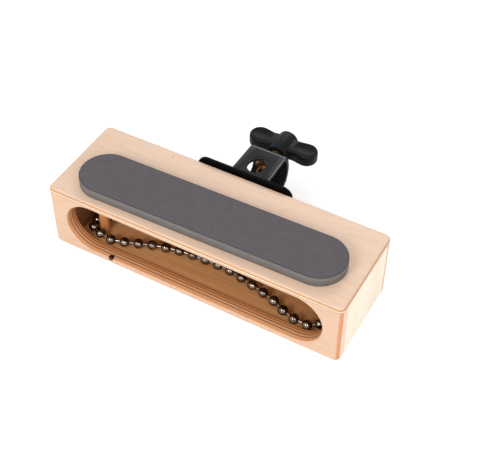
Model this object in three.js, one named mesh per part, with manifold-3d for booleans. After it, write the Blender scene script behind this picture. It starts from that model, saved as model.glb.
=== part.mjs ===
// Hand clap block: a wooden slot box with a foam strike pad on top, a loop of ball chain that
// rattles inside, and a rod clamp with a wing screw on the back.
// Millimetres. +X runs along the slot to the right, +Y to the clamp at the back, +Z up.
// The origin is the middle of the wooden block's underside.

import * as THREE from "three";
import { mergeVertices } from "three/addons/utils/BufferGeometryUtils.js";
import Module from "manifold-3d";

const wasm = await Module();
wasm.setup();

// Driving dimensions: wooden block
const blockLength = 205;
const blockDepth = 68;
const blockHeight = 48;
const topThickness = 3;
const frontThickness = 9;
const backThickness = 6;
const endThickness = 12;
const floorThickness = 4;
const cornerRadius = 4;
const bottomRound = 2.75;
const topRound = 1.75;

// Driving dimensions: slot in the front panel, by the wood left round it
const slotFromEnd = 12.5;
const slotSill = 5.5;
const slotHeadRail = 2.2;
const slotRound = 1.5;

// Driving dimensions: foam strike pad
const padFromEnd = 11.8;
const padWidth = 35.5;
const padThickness = 8;
const padRound = 1.2;
const padShiftRight = 0.95;
const padShiftFront = 9.8;
const padTurnDegrees = 1;

// Driving dimensions: dowels that the chain loops round
const postDiameter = 6.7;
const leftPostFromEnd = 12.8;
const leftPostFromFront = 12.7;
const rightPostFromEnd = 10.8;
const rightPostFromFront = 15.5;

// Driving dimensions: ball chain
const ballCount = 42;
const ballDiameter = 6.3;
const ballWall = 0.45;
const pinDiameter = 1.4;
const pinHeadDiameter = 3.2;
const pinHeadLength = 0.9;
const pinHeadSet = 1.2;
const mouthDiameter = 2.5;
const tuckedGap = 1;
const turnSlack = 0.8;
const claspDiameter = 7.2;
const claspWall = 0.6;
const claspOpening = 5.2;
const claspPlaceShare = 0.74;

// Driving dimensions: mounting plate and its screws
const plateWidth = 68;
const plateHeight = 39;
const plateThickness = 3;
const plateCorner = 7;
const plateEdgeRound = 0.8;
const plateProud = 3;
const screwSpreadX = 50;
const screwSpreadZ = 22;
const screwShankDiameter = 3.5;
const screwShankLength = 7.5;
const screwHeadDiameter = 7.2;
const screwHeadHeight = 2.4;

// Driving dimensions: rod strap, a bent loop of flat bar
const strapWidth = 26;
const strapNeck = 25;
const strapHeight = 25.6;
const strapReach = 32;
const strapBulge = 4;
const strapThickness = 2.5;
const strapBend = 1.6;
const strapGusset = 2.6;
const strapGussetLength = 6.5;
const rodHoleWidth = 12.4;
const rodHoleDepth = 14;
const rodHoleFromPlate = 14.5;

// Driving dimensions: wing screw and its nut
const studDiameter = 8;
const studTipFromPlate = 21.3;
const studTipChamfer = 1;
const studInKnob = 15;
const nutAcrossFlats = 13;
const nutThickness = 6.3;
const hubDiameter = 14.5;
const hubLength = 19.5;
const hubFromStrap = 5.2;
const hubRound = 1.6;
const wingSpan = 50;
const wingDepth = 15;
const wingThickness = 9;
const wingRound = 2;
const wingFromHubFace = 3.2;
const wingWaist = 1.3;
const wingWaistFromAxis = 9;
const wingWaistSpread = 4;
const dishFromAxis = 16;
const dishLength = 13.5;
const dishWidth = 10.5;
const dishDepth = 1.5;

// Clearances: a glued or bolted flat joint, a part seated in or near another, and an overrun of cuts
const glueGap = 0.02;
const clearance = 0.3;
const overrun = 1;

// Places worked out from the driving dimensions
const halfLength = blockLength / 2;
const halfDepth = blockDepth / 2;
const undersideOfTop = blockHeight - topThickness;
const cavityFront = frontThickness - halfDepth;
const cavityBack = halfDepth - backThickness;
const cavityDepth = cavityBack - cavityFront;
const cavityHalfLength = halfLength - endThickness;
const slotLength = blockLength - 2 * slotFromEnd;
const slotHeight = undersideOfTop - slotHeadRail - slotSill;
const padLength = blockLength - 2 * padFromEnd;
const ballRadius = ballDiameter / 2;
const plateFront = halfDepth + glueGap;
const plateBack = plateFront + plateThickness;
const plateTop = blockHeight + plateProud;
const clampHeight = plateTop - plateHeight / 2;
const strapFront = plateBack + glueGap;
const strapRidge = strapFront + strapReach;
const strapBack = strapRidge + strapBulge;
const rodHoleY = plateBack + rodHoleFromPlate;
const hubFront = strapBack + hubFromStrap;
const hubBack = hubFront + hubLength;

// Finishes
const finishes = {
  birchFace: { color: 0xe9c8a6, roughness: 0.55, metalness: 0 },
  birchFront: { color: 0xefc6a6, roughness: 0.55, metalness: 0 },
  paleWood: { color: 0xfbf1dc, roughness: 0.55, metalness: 0 },
  floorWood: { color: 0xb98a5c, roughness: 0.6, metalness: 0 },
  dowelWood: { color: 0xc8905a, roughness: 0.55, metalness: 0 },
  foam: { color: 0x635d62, roughness: 0.95, metalness: 0 },
  blackSteel: { color: 0x26282a, roughness: 0.45, metalness: 0.6 },
  blackPlastic: { color: 0x1b1b1c, roughness: 0.5, metalness: 0 },
  zincSteel: { color: 0xb09a78, roughness: 0.35, metalness: 0.9 },
  darkNickel: { color: 0x5a4b42, roughness: 0.25, metalness: 0.9 },
};

const block = new THREE.Group();

// Adds a closed body to the block as one named piece.
function addPiece(name, solid, finish) {
  const mesh = new THREE.Mesh(geometryOf(solid), new THREE.MeshStandardMaterial(finish));
  mesh.name = name;
  block.add(mesh);
}

// A closed geometry as a solid that can be joined and cut.
function solidOf(geometry) {
  const bare = geometry.index ? geometry.toNonIndexed() : geometry.clone();
  bare.deleteAttribute("normal");
  bare.deleteAttribute("uv");
  const merged = mergeVertices(bare);
  return new wasm.Manifold(
    new wasm.Mesh({
      numProp: 3,
      vertProperties: new Float32Array(merged.attributes.position.array),
      triVerts: new Uint32Array(merged.index.array),
    }),
  );
}

// A solid as a flat-shaded geometry.
function geometryOf(solid) {
  const mesh = solid.getMesh();
  const geometry = new THREE.BufferGeometry();
  geometry.setAttribute("position", new THREE.BufferAttribute(mesh.vertProperties, 3));
  geometry.setIndex(new THREE.BufferAttribute(mesh.triVerts, 1));
  const flat = geometry.toNonIndexed();
  flat.computeVertexNormals();
  return flat;
}

// A box between two corners.
function boxBetween(low, high) {
  const size = new THREE.Vector3().subVectors(high, low);
  const middle = new THREE.Vector3().addVectors(low, high).multiplyScalar(0.5);
  const geometry = new THREE.BoxGeometry(size.x, size.y, size.z);
  geometry.translate(middle.x, middle.y, middle.z);
  return solidOf(geometry);
}

// A skin over a stack of rings with equal point counts, closed by a fan at each end.
function loft(rings) {
  const count = rings[0].length;
  const points = rings.flat();
  const faces = [];
  for (let level = 0; level + 1 < rings.length; level += 1) {
    for (let i = 0; i < count; i += 1) {
      const next = (i + 1) % count;
      const a = level * count + i;
      const b = level * count + next;
      faces.push(a, b, b + count, a, b + count, a + count);
    }
  }
  const ends = [rings[0], rings[rings.length - 1]];
  ends.forEach((ring, end) => {
    const middle = points.length;
    const centre = new THREE.Vector3();
    ring.forEach((point) => centre.addScaledVector(point, 1 / count));
    points.push(centre);
    const start = end === 0 ? 0 : (rings.length - 1) * count;
    for (let i = 0; i < count; i += 1) {
      const here = start + i;
      const next = start + ((i + 1) % count);
      if (end === 0) faces.push(middle, next, here);
      else faces.push(middle, here, next);
    }
  });
  const geometry = new THREE.BufferGeometry().setFromPoints(points);
  geometry.setIndex(faces);
  return solidOf(geometry);
}

// Points of a rectangle with round corners, counter-clockwise, as [across, up] pairs.
function roundedRectangle(width, height, radius, stepsPerCorner) {
  const points = [];
  const corners = [
    [1, 1],
    [-1, 1],
    [-1, -1],
    [1, -1],
  ];
  corners.forEach(([sideX, sideY], corner) => {
    for (let step = 0; step <= stepsPerCorner; step += 1) {
      const angle = ((corner + step / stepsPerCorner) * Math.PI) / 2;
      const x = sideX * (width / 2 - radius) + radius * Math.cos(angle);
      const y = sideY * (height / 2 - radius) + radius * Math.sin(angle);
      points.push([x, y]);
    }
  });
  return points;
}

// Rings of a slab whose lower and upper edges are rounded, each as { inset, level }.
function roundedEdgeLevels(low, high, lowRound, highRound, steps) {
  const levels = [];
  for (let step = 0; step <= steps; step += 1) {
    const angle = ((step / steps) * Math.PI) / 2;
    const inset = lowRound * (1 - Math.sin(angle));
    levels.push({ inset, level: low + lowRound * (1 - Math.cos(angle)) });
    if (lowRound === 0) break;
  }
  for (let step = 0; step <= steps; step += 1) {
    const angle = ((step / steps) * Math.PI) / 2;
    const inset = highRound * (1 - Math.cos(angle));
    levels.push({ inset, level: high - highRound * (1 - Math.sin(angle)) });
    if (highRound === 0) break;
  }
  return levels;
}

// A bar turned about +Y from a profile of [radius, place along Y] pairs, from -Y end to +Y end.
function turnedAlongY(profile, sides) {
  const points = profile.map(([radius, along]) => new THREE.Vector2(radius, along));
  return solidOf(new THREE.LatheGeometry(points, sides));
}

// An outline in the YZ plane, extruded to both sides of the middle plane.
function extrudedAcross(outline, width) {
  const shape = new THREE.Shape(outline.map(([y, z]) => new THREE.Vector2(y, z)));
  const geometry = new THREE.ExtrudeGeometry(shape, { depth: width, bevelEnabled: false });
  geometry.translate(0, 0, -width / 2);
  const turn = new THREE.Matrix4().makeBasis(
    new THREE.Vector3(0, 1, 0),
    new THREE.Vector3(0, 0, 1),
    new THREE.Vector3(1, 0, 0),
  );
  geometry.applyMatrix4(turn);
  return solidOf(geometry);
}

// Wooden block: every panel is cut from one rounded envelope, so the outer rounding runs across
// the joints.
const cornerSteps = 5;
const edgeSteps = 4;

function blockEnvelope() {
  const levels = roundedEdgeLevels(0, blockHeight, bottomRound, topRound, edgeSteps);
  const rings = levels.map(({ inset, level }) =>
    roundedRectangle(
      blockLength - 2 * inset,
      blockDepth - 2 * inset,
      cornerRadius - inset,
      cornerSteps,
    ).map(([x, y]) => new THREE.Vector3(x, y, level)),
  );
  return loft(rings);
}

const envelope = blockEnvelope();

function panel(lowX, highX, lowY, highY, lowZ, highZ) {
  const low = new THREE.Vector3(lowX, lowY, lowZ);
  const high = new THREE.Vector3(highX, highY, highZ);
  return envelope.intersect(boxBetween(low, high));
}

// The slot's cutter: a stadium through the front panel, flared where its front edge is routed.
const slotSteps = 10;

function slotCutter() {
  const middleZ = slotSill + slotHeight / 2;
  const ringAt = (grow, y) =>
    roundedRectangle(
      slotLength + 2 * grow,
      slotHeight + 2 * grow,
      slotHeight / 2 + grow,
      slotSteps,
    ).map(([x, z]) => new THREE.Vector3(x, y, middleZ + z));
  const rings = [ringAt(0, cavityFront + overrun)];
  for (let step = 0; step <= edgeSteps; step += 1) {
    const angle = ((step / edgeSteps) * Math.PI) / 2;
    const grow = slotRound * (1 - Math.cos(angle));
    rings.push(ringAt(grow, slotRound * (1 - Math.sin(angle)) - halfDepth));
  }
  rings.push(ringAt(slotRound, -halfDepth - overrun));
  return loft(rings);
}

const frontPanel = panel(
  -halfLength - overrun,
  halfLength + overrun,
  -halfDepth - overrun,
  cavityFront,
  -overrun,
  undersideOfTop - glueGap,
).subtract(slotCutter());

// Wood screws that hold the plate: their places, and the shank hole that each one needs.
const screwPlaces = [
  ["upper_left", -1, 1],
  ["upper_right", 1, 1],
  ["lower_left", -1, -1],
  ["lower_right", 1, -1],
].map(([side, x, z]) => ({
  side,
  x: (x * screwSpreadX) / 2,
  z: clampHeight + (z * screwSpreadZ) / 2,
}));
const screwSides = 16;
const screwTip = plateBack + glueGap - screwShankLength;
const screwHoleRadius = screwShankDiameter / 2 + clearance;

function screwHoles(from, to) {
  return screwPlaces
    .map(({ x, z }) =>
      turnedAlongY(
        [
          [0, from],
          [screwHoleRadius, from],
          [screwHoleRadius, to],
          [0, to],
        ],
        screwSides,
      ).translate([x, 0, z]),
    )
    .reduce((all, one) => all.add(one));
}

const backPanel = panel(
  -halfLength - overrun,
  halfLength + overrun,
  cavityBack,
  halfDepth + overrun,
  -overrun,
  undersideOfTop - glueGap,
).subtract(screwHoles(screwTip - clearance, halfDepth + overrun));

const topPlate = panel(
  -halfLength - overrun,
  halfLength + overrun,
  -halfDepth - overrun,
  halfDepth + overrun,
  undersideOfTop,
  blockHeight + overrun,
);

function endBlock(side) {
  const inner = cavityHalfLength;
  const outer = halfLength + overrun;
  return panel(
    side < 0 ? -outer : inner,
    side < 0 ? -inner : outer,
    cavityFront + glueGap,
    cavityBack - glueGap,
    -overrun,
    undersideOfTop - glueGap,
  );
}

const floorPanel = boxBetween(
  new THREE.Vector3(glueGap - cavityHalfLength, cavityFront + glueGap, 0),
  new THREE.Vector3(cavityHalfLength - glueGap, cavityBack - glueGap, floorThickness),
);

addPiece("top_plate", topPlate, finishes.birchFace);
addPiece("front_panel", frontPanel, finishes.birchFront);
addPiece("back_panel", backPanel, finishes.birchFront);
addPiece("end_block_left", endBlock(-1), finishes.paleWood);
addPiece("end_block_right", endBlock(1), finishes.paleWood);
addPiece("floor_panel", floorPanel, finishes.floorWood);

// Foam strike pad, glued on a little skew, with a soft upper edge
const padSteps = 10;
const padBottom = blockHeight + glueGap;

function strikePad() {
  const levels = roundedEdgeLevels(padBottom, padBottom + padThickness, 0, padRound, edgeSteps);
  const turn = new THREE.Matrix4().makeRotationZ(THREE.MathUtils.degToRad(padTurnDegrees));
  turn.setPosition(padShiftRight, -padShiftFront, 0);
  const rings = levels.map(({ inset, level }) =>
    roundedRectangle(
      padLength - 2 * inset,
      padWidth - 2 * inset,
      padWidth / 2 - inset,
      padSteps,
    ).map(([x, y]) => new THREE.Vector3(x, y, level).applyMatrix4(turn)),
  );
  return loft(rings);
}

addPiece("strike_pad", strikePad(), finishes.foam);

// Dowels between floor and top, one at each end of the cavity
const postSides = 20;
const posts = {
  left: new THREE.Vector2(leftPostFromEnd - cavityHalfLength, cavityFront + leftPostFromFront),
  right: new THREE.Vector2(cavityHalfLength - rightPostFromEnd, cavityFront + rightPostFromFront),
};

function chainPost(place) {
  const low = floorThickness + glueGap;
  const high = undersideOfTop - glueGap;
  const geometry = new THREE.CylinderGeometry(
    postDiameter / 2,
    postDiameter / 2,
    high - low,
    postSides,
  );
  geometry.rotateX(Math.PI / 2);
  geometry.translate(place.x, place.y, (low + high) / 2);
  return solidOf(geometry);
}

addPiece("chain_post_left", chainPost(posts.left), finishes.dowelWood);
addPiece("chain_post_right", chainPost(posts.right), finishes.dowelWood);

// Ball chain: its loop on the floor. The runs between the dowels are shares of the way from the
// left dowel to the right one and of the cavity's depth from the front panel. The front run bows
// backwards, and each turn goes round its dowel at the angles given.
const frontRunShares = [
  [0.063, 0.064],
  [0.123, 0.106],
  [0.233, 0.232],
  [0.345, 0.313],
  [0.468, 0.345],
  [0.583, 0.338],
  [0.701, 0.266],
  [0.815, 0.174],
  [0.87, 0.098],
  [0.927, 0.056],
  [0.978, 0.056],
];
const rightTurnDegrees = [-42, 0, 42, 84];
const backRunShares = [
  [0.893, 0.58],
  [0.722, 0.67],
  [0.491, 0.69],
  [0.26, 0.65],
  [0.06, 0.54],
];
const leftTurnDegrees = [110, 150, 190, 230, 270];
const chainHeight = floorThickness + clearance + ballRadius;

function chainRoute() {
  const turnRadius = postDiameter / 2 + ballRadius + turnSlack;
  const runPoint = ([along, back]) =>
    new THREE.Vector3(
      posts.left.x + along * (posts.right.x - posts.left.x),
      cavityFront + back * cavityDepth,
      chainHeight,
    );
  const turnPoint = (post) => (degrees) => {
    const angle = THREE.MathUtils.degToRad(degrees);
    return new THREE.Vector3(
      post.x + turnRadius * Math.cos(angle),
      post.y + turnRadius * Math.sin(angle),
      chainHeight,
    );
  };
  const corners = [
    ...leftTurnDegrees.map(turnPoint(posts.left)),
    ...frontRunShares.map(runPoint),
    ...rightTurnDegrees.map(turnPoint(posts.right)),
    ...backRunShares.map(runPoint),
  ];
  return new THREE.CatmullRomCurve3(corners, true, "centripetal");
}

// Balls lie close together beyond the dowels, and share the rest of the loop evenly.
const samplesPerBall = 50;

function ballCentres() {
  const samples = chainRoute().getPoints(ballCount * samplesPerBall);
  const stretches = samples.slice(1).map((point, i) => {
    const middleX = (point.x + samples[i].x) / 2;
    const tucked = middleX < posts.left.x || middleX > posts.right.x;
    return { length: point.distanceTo(samples[i]), tucked };
  });
  const total = (tucked) =>
    stretches.reduce((sum, part) => sum + (part.tucked === tucked ? part.length : 0), 0);
  const tuckedPitch = ballDiameter + tuckedGap;
  const ballsTucked = total(true) / tuckedPitch;
  const runPitch = total(false) / (ballCount - ballsTucked);
  const centres = [];
  let passed = 0;
  stretches.forEach((part, i) => {
    const step = part.length / (part.tucked ? tuckedPitch : runPitch);
    if (centres.length < ballCount && passed + step >= centres.length) {
      const share = (centres.length - passed) / step;
      centres.push(new THREE.Vector3().lerpVectors(samples[i], samples[i + 1], share));
    }
    passed += step;
  });
  return centres;
}

const ballSides = 8;
const ballOuterSteps = 5;
const ballInnerSteps = 2;
const pinSides = 5;

// Turns a solid made along +Y to face a direction, and moves it to a place.
function placedAlong(geometry, direction, place) {
  const turn = new THREE.Quaternion().setFromUnitVectors(new THREE.Vector3(0, 1, 0), direction);
  geometry.applyQuaternion(turn);
  geometry.translate(place.x, place.y, place.z);
  return solidOf(geometry);
}

// A hollow ball whose mouth faces +Y, as half of its section.
function hollowBallProfile() {
  const innerRadius = ballRadius - ballWall;
  const mouth = mouthDiameter / 2;
  const outerMouth = Math.asin(mouth / ballRadius);
  const innerMouth = Math.asin(mouth / innerRadius);
  const points = [];
  for (let step = 0; step <= ballOuterSteps; step += 1) {
    const angle = Math.PI + (step / ballOuterSteps) * (outerMouth - Math.PI);
    const radius = step === 0 ? 0 : ballRadius * Math.sin(angle);
    points.push(new THREE.Vector2(radius, ballRadius * Math.cos(angle)));
  }
  for (let step = 0; step <= ballInnerSteps; step += 1) {
    const angle = innerMouth + (step / ballInnerSteps) * (Math.PI - innerMouth);
    const radius = step === ballInnerSteps ? 0 : innerRadius * Math.sin(angle);
    points.push(new THREE.Vector2(radius, innerRadius * Math.cos(angle)));
  }
  return points;
}

function hollowBall(centre, mouthTowards) {
  const direction = new THREE.Vector3().subVectors(mouthTowards, centre).normalize();
  return placedAlong(new THREE.LatheGeometry(hollowBallProfile(), ballSides), direction, centre);
}

// The link pin, rooted in one ball's wall, with its head caught inside the next ball.
function linkPin(centre, nextCentre) {
  const direction = new THREE.Vector3().subVectors(nextCentre, centre);
  const pitch = direction.length();
  const root = ballRadius - 2 * ballWall;
  const headEnd = pitch - pinHeadSet + pinHeadLength / 2;
  const headStart = headEnd - pinHeadLength;
  const profile = [
    new THREE.Vector2(0, root),
    new THREE.Vector2(pinDiameter / 2, root),
    new THREE.Vector2(pinDiameter / 2, headStart),
    new THREE.Vector2(pinHeadDiameter / 2, headStart),
    new THREE.Vector2(pinHeadDiameter / 2, headEnd),
    new THREE.Vector2(0, headEnd),
  ];
  return placedAlong(
    new THREE.LatheGeometry(profile, pinSides),
    direction.normalize(),
    centre,
  );
}

// The clasp: a sleeve with a long opening that grips the chain's two end balls.
const claspSides = 10;

function chainClasp(first, second, before, after) {
  const axis = new THREE.Vector3().subVectors(second, first);
  const halfSpan = axis.length() / 2;
  const direction = axis.normalize();
  const middle = new THREE.Vector3().addVectors(first, second).multiplyScalar(0.5);
  const outer = claspDiameter / 2;
  const inner = outer - claspWall;
  const end = halfSpan + ballRadius + clearance;
  const mouth = mouthDiameter / 2;
  const sleeve = placedAlong(
    new THREE.LatheGeometry(
      [
        new THREE.Vector2(mouth, -end - claspWall),
        new THREE.Vector2(outer, -end - claspWall),
        new THREE.Vector2(outer, end + claspWall),
        new THREE.Vector2(mouth, end + claspWall),
        new THREE.Vector2(mouth, end),
        new THREE.Vector2(inner, end),
        new THREE.Vector2(inner, -end),
        new THREE.Vector2(mouth, -end),
        new THREE.Vector2(mouth, -end - claspWall),
      ],
      claspSides,
    ),
    direction,
    middle,
  );
  const opening = new THREE.BoxGeometry(claspOpening, 2 * end - 2 * ballRadius, claspDiameter);
  opening.translate(0, 0, claspDiameter / 2);
  const grip = (centre) =>
    placedAlong(new THREE.SphereGeometry(ballRadius, claspSides, claspSides / 2), direction, centre);
  return sleeve
    .subtract(placedAlong(opening, direction, middle))
    .add(grip(first))
    .add(grip(second))
    .subtract(hollowCore(first, before))
    .add(linkPin(second, after));
}

// The room inside a gripped end ball for the head of the pin that comes in.
function hollowCore(centre, from) {
  const direction = new THREE.Vector3().subVectors(from, centre).normalize();
  const innerRadius = ballRadius - ballWall;
  const core = new THREE.SphereGeometry(innerRadius, ballSides, ballInnerSteps + 1);
  const mouth = new THREE.CylinderGeometry(
    mouthDiameter / 2,
    mouthDiameter / 2,
    claspDiameter,
    ballSides,
  );
  mouth.translate(0, claspDiameter / 2, 0);
  return placedAlong(core, direction, centre).add(placedAlong(mouth, direction, centre));
}

const centres = ballCentres();
const claspAt = Math.round(ballCount * claspPlaceShare);
const claspLift = claspDiameter / 2 - ballRadius;
centres[claspAt].z += claspLift;
centres[claspAt + 1].z += claspLift;
const ballAt = (i) => centres[(i + ballCount) % ballCount];

let linkNumber = 0;
for (let i = 0; i < ballCount; i += 1) {
  if (i !== claspAt && i !== claspAt + 1) {
    linkNumber += 1;
    const link = hollowBall(ballAt(i), ballAt(i - 1)).add(linkPin(ballAt(i), ballAt(i + 1)));
    addPiece(`chain_link_${String(linkNumber).padStart(2, "0")}`, link, finishes.darkNickel);
  }
}
addPiece(
  "chain_clasp",
  chainClasp(ballAt(claspAt), ballAt(claspAt + 1), ballAt(claspAt - 1), ballAt(claspAt + 2)),
  finishes.darkNickel,
);

// Mounting plate with rounded edges, screwed to the back panel
const plateSteps = 6;

function mountPlate() {
  const levels = roundedEdgeLevels(plateFront, plateBack, plateEdgeRound, plateEdgeRound, 2);
  const rings = levels.map(({ inset, level }) =>
    roundedRectangle(
      plateWidth - 2 * inset,
      plateHeight - 2 * inset,
      plateCorner - inset,
      plateSteps,
    ).map(([x, z]) => new THREE.Vector3(-x, level, clampHeight + z)),
  );
  return loft(rings).subtract(screwHoles(plateFront - overrun, plateBack + overrun));
}

addPiece("mount_plate", mountPlate(), finishes.blackSteel);

// A pan-head wood screw
function plateScrew({ x, z }) {
  const seat = plateBack + glueGap;
  const profile = [
    [0, screwTip],
    [screwShankDiameter / 4, screwTip],
    [screwShankDiameter / 2, screwTip + screwShankDiameter / 2],
    [screwShankDiameter / 2, seat],
    [screwHeadDiameter / 2, seat],
    [screwHeadDiameter / 2, seat + screwHeadHeight / 2],
    [screwHeadDiameter / 3, seat + screwHeadHeight],
    [0, seat + screwHeadHeight],
  ];
  return turnedAlongY(profile, screwSides).translate([x, 0, z]);
}

screwPlaces.forEach((place) =>
  addPiece(`plate_screw_${place.side}`, plateScrew(place), finishes.blackSteel),
);

// Rod strap: two flat leaves joined by a bowed web, with a hole for the rod through both leaves
const bowSteps = 8;
const bendSteps = 3;
const rodHoleSides = 24;

// The web's outer or inner line, from the lower leaf to the upper one.
function webLine(inward) {
  const points = [];
  const half = strapHeight / 2 - inward;
  for (let step = 0; step <= bowSteps; step += 1) {
    const up = (2 * step) / bowSteps - 1;
    const bow = strapBulge * (1 - up * up);
    points.push([strapRidge - inward + bow, clampHeight + up * half]);
  }
  return points;
}

// The same line with its two corners rounded.
function webWithBends(inward, radius) {
  const line = webLine(inward);
  const bend = (corner, along, up) => {
    const points = [];
    for (let step = 0; step <= bendSteps; step += 1) {
      const angle = ((step / bendSteps) * Math.PI) / 2;
      const back = radius * (1 - Math.sin(angle));
      const rise = radius * (1 - Math.cos(angle));
      points.push([corner[0] - back + along * rise, corner[1] + up * rise]);
    }
    return points;
  };
  const lean = (strapBulge * 2) / strapHeight;
  const lower = bend(line[0], lean, 1);
  const upper = bend(line[line.length - 1], lean, -1).reverse();
  return [...lower, ...line.slice(1, -1), ...upper];
}

function rodStrap() {
  const low = clampHeight - strapHeight / 2;
  const high = clampHeight + strapHeight / 2;
  const outer = webWithBends(0, strapBend + strapThickness / 2);
  const inner = webWithBends(strapThickness, strapBend / 2).reverse();
  const gusset = (leaf, into) => [
    [strapFront + strapGussetLength, leaf + into * strapThickness],
    [strapFront, leaf + into * (strapThickness + strapGusset)],
  ];
  const outline = [
    [strapFront, low],
    ...outer,
    [strapFront, high],
    ...gusset(high, -1).reverse(),
    ...inner,
    ...gusset(low, 1),
  ];
  const bar = extrudedAcross(outline, strapWidth);
  const taper = extrudedTaper();
  const rodHole = new THREE.CylinderGeometry(
    rodHoleWidth / 2,
    rodHoleWidth / 2,
    strapHeight + 2 * overrun,
    rodHoleSides,
  );
  rodHole.rotateX(Math.PI / 2);
  rodHole.scale(1, rodHoleDepth / rodHoleWidth, 1);
  rodHole.translate(0, rodHoleY, clampHeight);
  const studHole = turnedAlongY(
    [
      [0, rodHoleY],
      [studDiameter / 2 + clearance, rodHoleY],
      [studDiameter / 2 + clearance, strapBack + overrun],
      [0, strapBack + overrun],
    ],
    rodHoleSides,
  ).translate([0, 0, clampHeight]);
  return bar.intersect(taper).subtract(solidOf(rodHole)).subtract(studHole);
}

// The strap's outline from above: it narrows a little from the plate to the ridge.
function extrudedTaper() {
  const low = clampHeight - strapHeight;
  const high = clampHeight + strapHeight;
  const back = strapBack + overrun;
  const ringAt = (z) => [
    new THREE.Vector3(-strapWidth / 2, strapFront - overrun, z),
    new THREE.Vector3(strapWidth / 2, strapFront - overrun, z),
    new THREE.Vector3(strapNeck / 2, strapRidge, z),
    new THREE.Vector3(strapNeck / 2, back, z),
    new THREE.Vector3(-strapNeck / 2, back, z),
    new THREE.Vector3(-strapNeck / 2, strapRidge, z),
  ];
  return loft([ringAt(low), ringAt(high)]);
}

addPiece("rod_strap", rodStrap(), finishes.blackSteel);

// Nut inside the bowed web, which the wing screw runs through
const studSides = 16;

function clampNut() {
  const corner = nutAcrossFlats / 2 / Math.cos(Math.PI / 6);
  const rise = corner / (strapHeight / 2 - strapThickness);
  const seat = strapBack - strapThickness - strapBulge * rise * rise - clearance;
  const hex = turnedAlongY(
    [
      [0, seat - nutThickness],
      [corner, seat - nutThickness],
      [corner, seat],
      [0, seat],
    ],
    6,
  );
  const bore = turnedAlongY(
    [
      [0, seat - nutThickness - overrun],
      [studDiameter / 2 + clearance, seat - nutThickness - overrun],
      [studDiameter / 2 + clearance, seat + overrun],
      [0, seat + overrun],
    ],
    studSides,
  );
  return hex.subtract(bore).translate([0, 0, clampHeight]);
}

addPiece("clamp_nut", clampNut(), finishes.zincSteel);

// Threaded stud of the wing screw
const studFront = plateBack + studTipFromPlate;
const studBack = hubFront + studInKnob;

function wingStud() {
  return turnedAlongY(
    [
      [0, studFront],
      [studDiameter / 2 - studTipChamfer, studFront],
      [studDiameter / 2, studFront + studTipChamfer],
      [studDiameter / 2, studBack],
      [0, studBack],
    ],
    studSides,
  ).translate([0, 0, clampHeight]);
}

addPiece("wing_stud", wingStud(), finishes.zincSteel);

// Wing knob: a hub with two dished wings
const hubSides = 28;
const wingSteps = 7;
const dishSides = 16;
const dishRings = 8;

function wings() {
  const middleY = hubFront + wingFromHubFace + wingDepth / 2;
  const low = clampHeight - wingThickness / 2;
  const high = clampHeight + wingThickness / 2;
  const levels = roundedEdgeLevels(low, high, wingRound, wingRound, 3);
  const waistAt = (x) => {
    const away = (Math.abs(x) - wingWaistFromAxis) / wingWaistSpread;
    return 1 - (wingWaist / (wingDepth / 2)) * Math.exp(-away * away);
  };
  const outline = (inset) => {
    const ends = roundedRectangle(
      wingSpan - 2 * inset,
      wingDepth - 2 * inset,
      wingDepth / 2 - inset,
      wingSteps,
    );
    const points = [];
    ends.forEach(([x, y], i) => {
      const [nextX, nextY] = ends[(i + 1) % ends.length];
      points.push([x, y]);
      const straight = Math.abs(nextX - x) > wingDepth;
      for (let step = 1; straight && step < wingSteps; step += 1) {
        const share = step / wingSteps;
        points.push([x + (nextX - x) * share, y + (nextY - y) * share]);
      }
    });
    return points.map(([x, y]) => [x, y * waistAt(x)]);
  };
  const rings = levels.map(({ inset, level }) =>
    outline(inset).map(([x, y]) => new THREE.Vector3(x, middleY + y, level)),
  );
  const dish = (sideX, sideZ) => {
    const geometry = new THREE.SphereGeometry(1, dishSides, dishRings);
    geometry.rotateX(Math.PI / 2);
    geometry.scale(dishLength / 2, dishWidth / 2, dishDepth);
    geometry.translate(
      sideX * dishFromAxis,
      middleY,
      clampHeight + (sideZ * wingThickness) / 2,
    );
    return solidOf(geometry);
  };
  return loft(rings)
    .subtract(dish(-1, 1))
    .subtract(dish(1, 1))
    .subtract(dish(-1, -1))
    .subtract(dish(1, -1));
}

function wingKnob() {
  const radius = hubDiameter / 2;
  const profile = [
    [0, hubFront],
    [radius, hubFront],
  ];
  for (let step = 0; step <= bendSteps; step += 1) {
    const angle = ((step / bendSteps) * Math.PI) / 2;
    profile.push([
      radius - hubRound * (1 - Math.cos(angle)),
      hubBack - hubRound * (1 - Math.sin(angle)),
    ]);
  }
  profile.push([0, hubBack]);
  const bore = turnedAlongY(
    [
      [0, hubFront - overrun],
      [studDiameter / 2 + clearance, hubFront - overrun],
      [studDiameter / 2 + clearance, studBack + clearance],
      [0, studBack + clearance],
    ],
    studSides,
  );
  return turnedAlongY(profile, hubSides)
    .translate([0, 0, clampHeight])
    .add(wings())
    .subtract(bore.translate([0, 0, clampHeight]));
}

addPiece("wing_knob", wingKnob(), finishes.blackPlastic);

export default block;
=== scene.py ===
import math

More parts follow.
